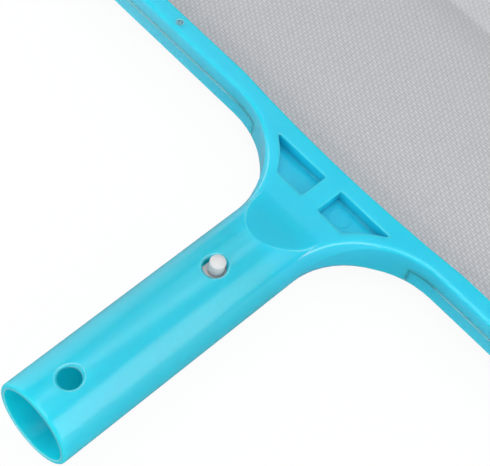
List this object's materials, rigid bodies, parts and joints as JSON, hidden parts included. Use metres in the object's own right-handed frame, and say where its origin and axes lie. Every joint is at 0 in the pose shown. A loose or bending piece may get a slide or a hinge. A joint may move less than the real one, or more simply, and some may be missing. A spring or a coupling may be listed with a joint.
{
  "type": "leaf skimmer net",
  "caption": "Flat pool leaf skimmer: a moulded socket and hub carry a wide rounded frame with a fine net and a scraper lip, and a spring clip with two buttons locks a pole.",
  "frame": {"origin": "centre of the socket's open mouth, on the socket's axis", "axes": "+X runs up the socket to the leading edge, +Y across the frame, +Z out of the face that lies upward, square to the net"},
  "size_m": [0.4167, 0.43, 0.0354],
  "materials": {
    "frame_plastic": "glossy turquoise injection-moulded plastic",
    "net_fabric": "fine light grey woven mesh",
    "clip_nylon": "off-white nylon, slightly satin"
  },
  "bodies": {
    "skimmer": {"frame_body": "frame_plastic", "clamp_ring": "frame_plastic", "net_mesh": "net_fabric", "net_hem": "net_fabric", "clip_bend": "clip_nylon"},
    "upper_button": {"clip_leg_upper": "clip_nylon", "button_upper": "clip_nylon"},
    "lower_button": {"clip_leg_lower": "clip_nylon", "button_lower": "clip_nylon"}
  },
  "joints": [
    {"name": "upper_button_press", "type": "hinge", "parent": "skimmer", "child": "upper_button", "pos_m": [0.0998, -0.0004, 0.00315], "axis": [0, -1, 0], "range_deg": [0, 6.8], "stiffness_Nm_per_rad": 2, "springref_deg": -1.72},
    {"name": "lower_button_press", "type": "hinge", "parent": "skimmer", "child": "lower_button", "pos_m": [0.0998, -0.0004, -0.00315], "axis": [0, 1, 0], "range_deg": [0, 6.8], "stiffness_Nm_per_rad": 2, "springref_deg": -1.72}
  ]
}
